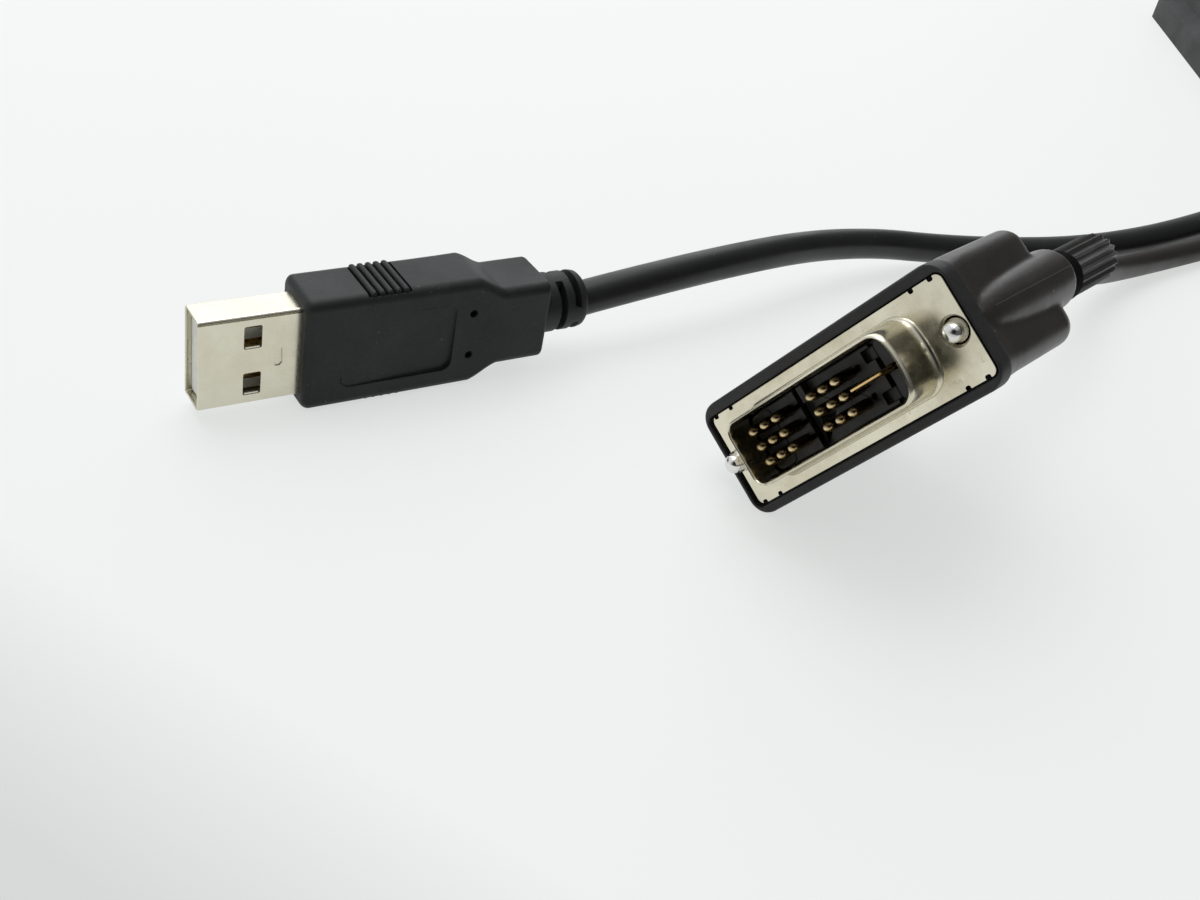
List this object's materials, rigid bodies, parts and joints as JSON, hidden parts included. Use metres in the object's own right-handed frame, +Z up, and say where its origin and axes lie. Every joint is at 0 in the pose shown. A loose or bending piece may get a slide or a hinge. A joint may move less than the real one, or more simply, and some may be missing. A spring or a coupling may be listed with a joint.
{
  "type": "kvm dongle",
  "caption": "Small black network module with two short leads, one with a USB-A plug and one with a DVI-D plug held by two knurled thumbscrews.",
  "frame": {"origin": "centre of the module's underside, on the surface that the dongle lies on", "axes": "+X along the module towards its two leads, +Y across it, +Z up"},
  "size_m": [0.2677, 0.2162, 0.0379],
  "materials": {
    "housing_black": "fine satin texture",
    "board_green": "solder mask",
    "chip_black": "moulded",
    "header_white": "moulded",
    "plated_shell": "worn nickel plate",
    "socket_black": "moulded",
    "gold_contact": "gold plate",
    "light_clear": "clear",
    "screw_steel": "nickel plate",
    "grip_black": "soft moulded vinyl",
    "insulator_white": "moulded",
    "insulator_dvi": "moulded",
    "filling_grey": "moulded",
    "knob_black": "ribbed",
    "lead_jacket": "satin vinyl"
  },
  "bodies": {
    "dongle": {"circuit_board": "board_green", "control_chip": "chip_black", "dvi_boot": "grip_black", "dvi_front_shell": "plated_shell", "dvi_ground_blade": "gold_contact", "dvi_inner_mould": "filling_grey", "dvi_insulator": "insulator_dvi", "dvi_lead": "lead_jacket", "dvi_overmould": "grip_black", "dvi_pin_a1": "gold_contact", "dvi_pin_a2": "gold_contact", "dvi_pin_a3": "gold_contact", "dvi_pin_a6": "gold_contact", "dvi_pin_a7": "gold_contact", "dvi_pin_a8": "gold_contact", "dvi_pin_b1": "gold_contact", "dvi_pin_b2": "gold_contact", "dvi_pin_b3": "gold_contact", "dvi_pin_b6": "gold_contact", "dvi_pin_b7": "gold_contact", "dvi_pin_b8": "gold_contact", "dvi_pin_c1": "gold_contact", "dvi_pin_c2": "gold_contact", "dvi_pin_c3": "gold_contact", "dvi_pin_c6": "gold_contact", "dvi_pin_c7": "gold_contact", "dvi_pin_c8": "gold_contact", "dvi_rear_shell": "plated_shell", "housing_base": "housing_black", "housing_lid": "housing_black", "housing_screws": "screw_steel", "jack_body": "socket_black", "jack_contact_1": "gold_contact", "jack_contact_2": "gold_contact", "jack_contact_3": "gold_contact", "jack_contact_4": "gold_contact", "jack_contact_5": "gold_contact", "jack_contact_6": "gold_contact", "jack_contact_7": "gold_contact", "jack_contact_8": "gold_contact", "jack_shield": "plated_shell", "status_light_pipe": "light_clear", "usb_boot": "grip_black", "usb_contact_1": "gold_contact", "usb_contact_2": "gold_contact", "usb_contact_3": "gold_contact", "usb_contact_4": "gold_contact", "usb_header": "header_white", "usb_inner_mould": "filling_grey", "usb_insulator": "insulator_white", "usb_lead": "lead_jacket", "usb_overmould": "grip_black", "usb_shell": "plated_shell", "video_chip": "chip_black", "video_header": "header_white"},
    "thumbscrew_left": {"dvi_knob_left": "knob_black", "dvi_jackscrew_left": "screw_steel"},
    "thumbscrew_right": {"dvi_knob_right": "knob_black", "dvi_jackscrew_right": "screw_steel"}
  },
  "joints": [
    {"name": "thumbscrew_left_turn", "type": "hinge", "parent": "dongle", "child": "thumbscrew_left", "pos_m": [0.19885, -0.1196, 0.00456], "axis": [0.7899, -0.6122, 0.0354], "continuous": true},
    {"name": "thumbscrew_right_turn", "type": "hinge", "parent": "dongle", "child": "thumbscrew_right", "pos_m": [0.20955, -0.10419, 0.03207], "axis": [0.7899, -0.6122, 0.0354], "continuous": true}
  ]
}
